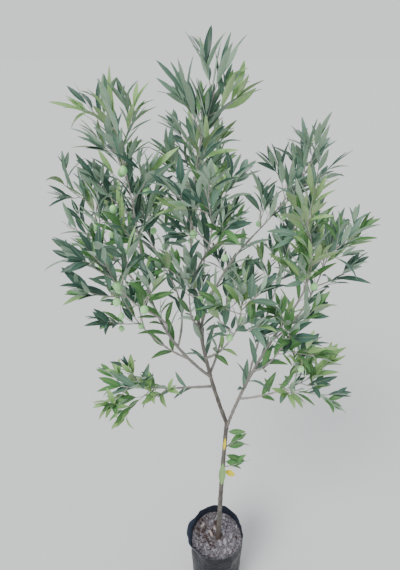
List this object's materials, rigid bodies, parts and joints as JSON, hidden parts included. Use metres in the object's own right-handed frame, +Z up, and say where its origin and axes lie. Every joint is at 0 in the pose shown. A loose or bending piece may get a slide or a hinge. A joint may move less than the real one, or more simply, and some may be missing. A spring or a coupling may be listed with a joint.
{
  "type": "potted olive tree",
  "caption": "Young olive tree with a slender forked trunk and an airy crown of narrow leaves, in a black film grow bag.",
  "frame": {"origin": "centre of the grow bag's flat underside, at the level of the ground it stands on", "axes": "+Z up along the bag's centre line, -Y towards the viewer of the picture, +X to that viewer's right"},
  "size_m": [0.6449, 0.4865, 1.68],
  "materials": {
    "bag_film": "satin",
    "potting_soil": "matte",
    "bark": "matte",
    "foliage": "matte"
  },
  "bodies": {
    "root": {"grow_bag": "bag_film", "potting_soil": "potting_soil", "trunk": "bark", "main_stem": "bark", "right_bough": "bark", "left_lateral": "bark", "left_leader": "bark", "crossing_bough": "bark", "back_bough": "bark", "front_bough": "bark", "front_top_bough": "bark", "back_right_bough": "bark", "right_low_bough": "bark", "right_outer_bough": "bark", "back_left_bough": "bark", "front_left_bough": "bark", "left_outer_bough": "bark", "left_mid_bough": "bark", "centre_low_bough": "bark", "back_low_bough": "bark", "right_inner_bough": "bark", "centre_top_foliage": "foliage", "left_top_foliage": "foliage", "right_top_foliage": "foliage", "crossing_top_foliage": "foliage", "back_top_foliage": "foliage", "front_top_foliage": "foliage", "back_right_foliage": "foliage", "back_left_foliage": "foliage", "front_foliage": "foliage", "front_left_foliage": "foliage", "left_outer_foliage": "foliage", "left_low_foliage": "foliage", "right_low_foliage": "foliage", "right_outer_foliage": "foliage", "left_mid_foliage": "foliage", "centre_low_foliage": "foliage", "back_low_foliage": "foliage", "right_inner_foliage": "foliage", "lower_trunk_foliage": "foliage", "upper_trunk_foliage": "foliage"}
  },
  "joints": []
}
